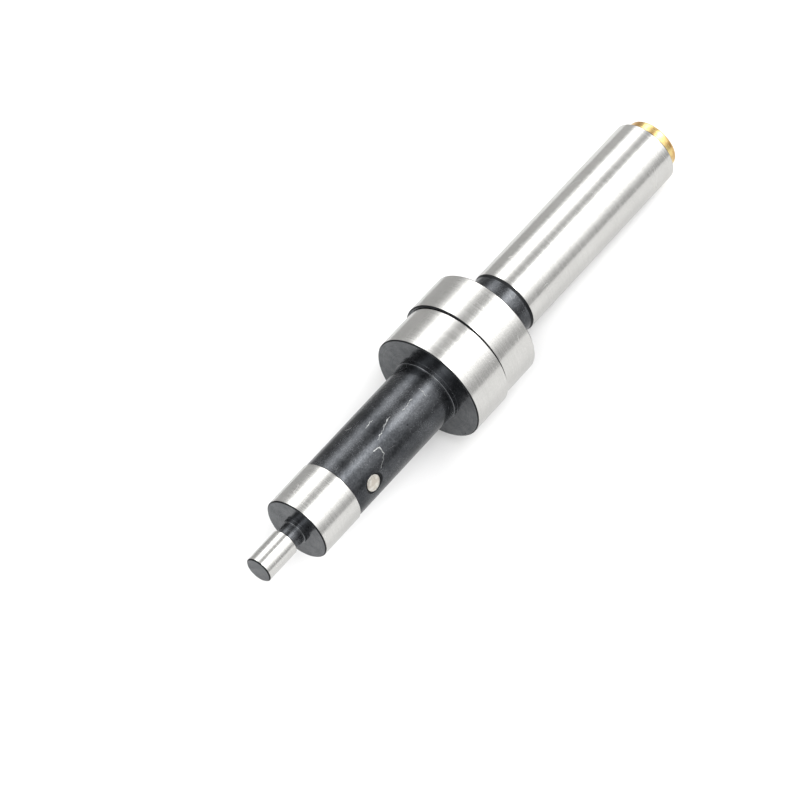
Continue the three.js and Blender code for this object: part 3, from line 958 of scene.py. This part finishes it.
def makeCamera():
    s = cameraSizes
    data = bpy.data.cameras.new("camera")
    data.lens, data.sensor_width = s["lens"], 36
    data.clip_start, data.clip_end = 0.01, 20
    camera = newObject("camera", data)
    right, up = Vector(s["right"]).normalized(), Vector(s["up"]).normalized()
    turn = Matrix((right, up, right.cross(up))).transposed().to_4x4()
    camera.matrix_world = Matrix.Translation(Vector(s["place"]) * mm) @ turn
    bpy.context.scene.camera = camera


floorSizes = {
    "reach": 0.6,           # metres to each side
    "tone": "c4c4c4",       # as the tool mirrors it
    "seenTone": "ebebeb",   # as the camera sees it
}


# The tool lies on the rim of its disc and on the end of its shank, so the floor is not level with it.
def floorHeight(x):
    low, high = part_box("shank")
    rimX = low.x + shankSizes["discLength"] * mm
    endZ = -shankSizes["diameter"] / 2 * mm
    return low.z + (endZ - low.z) / (high.x - rimX) * (x - rimX)


def makeFloor():
    s = floorSizes
    reach = s["reach"]
    mesh = bpy.data.meshes.new("floor")
    edges = ((-reach, -reach), (reach, -reach), (reach, reach), (-reach, reach))
    mesh.from_pydata([(x, y, floorHeight(x)) for x, y in edges], [], [(0, 1, 2, 3)])
    floor = newObject("floor", mesh)
    material = bpy.data.materials.new("whitePaper")
    material.use_nodes = True
    tree = material.node_tree
    tree.nodes.clear()
    mirrored = addNode(tree, "ShaderNodeBsdfDiffuse", {"Color": colourOf(s["tone"])})
    seen = addNode(tree, "ShaderNodeBsdfDiffuse", {"Color": colourOf(s["seenTone"])})
    fromCamera = addNode(tree, "ShaderNodeLightPath").outputs["Is Camera Ray"]
    both = addNode(tree, "ShaderNodeMixShader", {0: fromCamera, 1: mirrored.outputs[0], 2: seen.outputs[0]})
    addNode(tree, "ShaderNodeOutputMaterial", {"Surface": both.outputs[0]})
    mesh.materials.append(material)


cardSizes = {"away": 22.0, "height": 16.0, "ends": 40.0, "tone": "b8b8b8"}  # mm


# A low grey card stands behind the tool, out of sight. The bright diameters mirror it along their
# far side, which keeps that side's outline dark against the white floor.
def makeCard():
    s = cardSizes
    startX, endX = cadLow.x - s["ends"] * mm, cadHigh.x + s["ends"] * mm
    mesh = bpy.data.meshes.new("greyCard")
    foot = [(x, s["away"] * mm, floorHeight(x)) for x in (startX, endX)]
    top = [(x, y, z + s["height"] * mm) for x, y, z in reversed(foot)]
    mesh.from_pydata(foot + top, [], [(0, 1, 2, 3)])
    card = newObject("greyCard", mesh)
    material = bpy.data.materials.new("greyCardboard")
    material.use_nodes = True
    material.node_tree.nodes["Principled BSDF"].inputs["Base Color"].default_value = colourOf(s["tone"])
    mesh.materials.append(material)
    card.visible_camera, card.visible_diffuse, card.visible_shadow = False, False, False


# Two long soft boxes beside and above the tool and a wide dim one, in an even white room. Each is
# a soft band at an angle round the tool's length, from straight up towards -Y, and fades to its ends.
softBoxes = [
    {"angle": 14.5, "width": 11.5, "level": 4.5},     # degrees
    {"angle": -47.5, "width": 16.0, "level": 2.35},
    {"angle": 42.0, "width": 19.0, "level": 1.1},
]
roomLevel = 0.45


def makeLight():
    world = bpy.data.worlds.new("softBoxes")
    bpy.context.scene.world = world
    world.use_nodes = True
    tree = world.node_tree
    tree.nodes.clear()
    direction = addNode(tree, "ShaderNodeTexCoord").outputs["Generated"]
    split = addNode(tree, "ShaderNodeSeparateXYZ", {0: direction})
    aside = addNode(tree, "ShaderNodeMath", {0: split.outputs["Y"], 1: -1.0}, operation="MULTIPLY")
    angle = addNode(tree, "ShaderNodeMath", {0: aside.outputs[0], 1: split.outputs["Z"]},
                    operation="ARCTAN2")
    total = 0.0
    for box in softBoxes:
        off = addNode(tree, "ShaderNodeMath", {0: angle.outputs[0], 1: math.radians(box["angle"])},
                      operation="SUBTRACT")
        share = addNode(tree, "ShaderNodeMath", {0: off.outputs[0], 1: math.radians(box["width"])},
                        operation="DIVIDE")
        square = addNode(tree, "ShaderNodeMath", {0: share.outputs[0], 1: share.outputs[0]},
                         operation="MULTIPLY")
        fall = addNode(tree, "ShaderNodeMath", {0: square.outputs[0], 1: -1.0}, operation="MULTIPLY")
        glow = addNode(tree, "ShaderNodeMath", {0: fall.outputs[0]}, operation="EXPONENT")
        total = addNode(tree, "ShaderNodeMath", {0: glow.outputs[0], 1: box["level"], 2: total},
                        operation="MULTIPLY_ADD").outputs[0]
    ends = addNode(tree, "ShaderNodeMath", {0: split.outputs["X"]}, operation="ABSOLUTE")
    length = addNode(tree, "ShaderNodeMapRange",
                     {"Value": ends.outputs[0], "From Min": 0.95, "From Max": 0.75,
                      "To Min": 0.15, "To Max": 1.0})
    light = addNode(tree, "ShaderNodeMath",
                    {0: total, 1: length.outputs[0], 2: roomLevel}, operation="MULTIPLY_ADD")
    studio = addNode(tree, "ShaderNodeBackground", {"Color": (1, 1, 1, 1), "Strength": light.outputs[0]})
    backdrop = addNode(tree, "ShaderNodeBackground", {"Color": (1, 1, 1, 1), "Strength": 1.0})
    seen = addNode(tree, "ShaderNodeLightPath").outputs["Is Camera Ray"]
    both = addNode(tree, "ShaderNodeMixShader", {0: seen, 1: studio.outputs[0], 2: backdrop.outputs[0]})
    addNode(tree, "ShaderNodeOutputWorld", {"Surface": both.outputs[0]})


makeCamera()
makeFloor()
makeCard()
makeLight()
bpy.context.scene.view_settings.view_transform = "Standard"
print("stage: camera, floor and light ready")
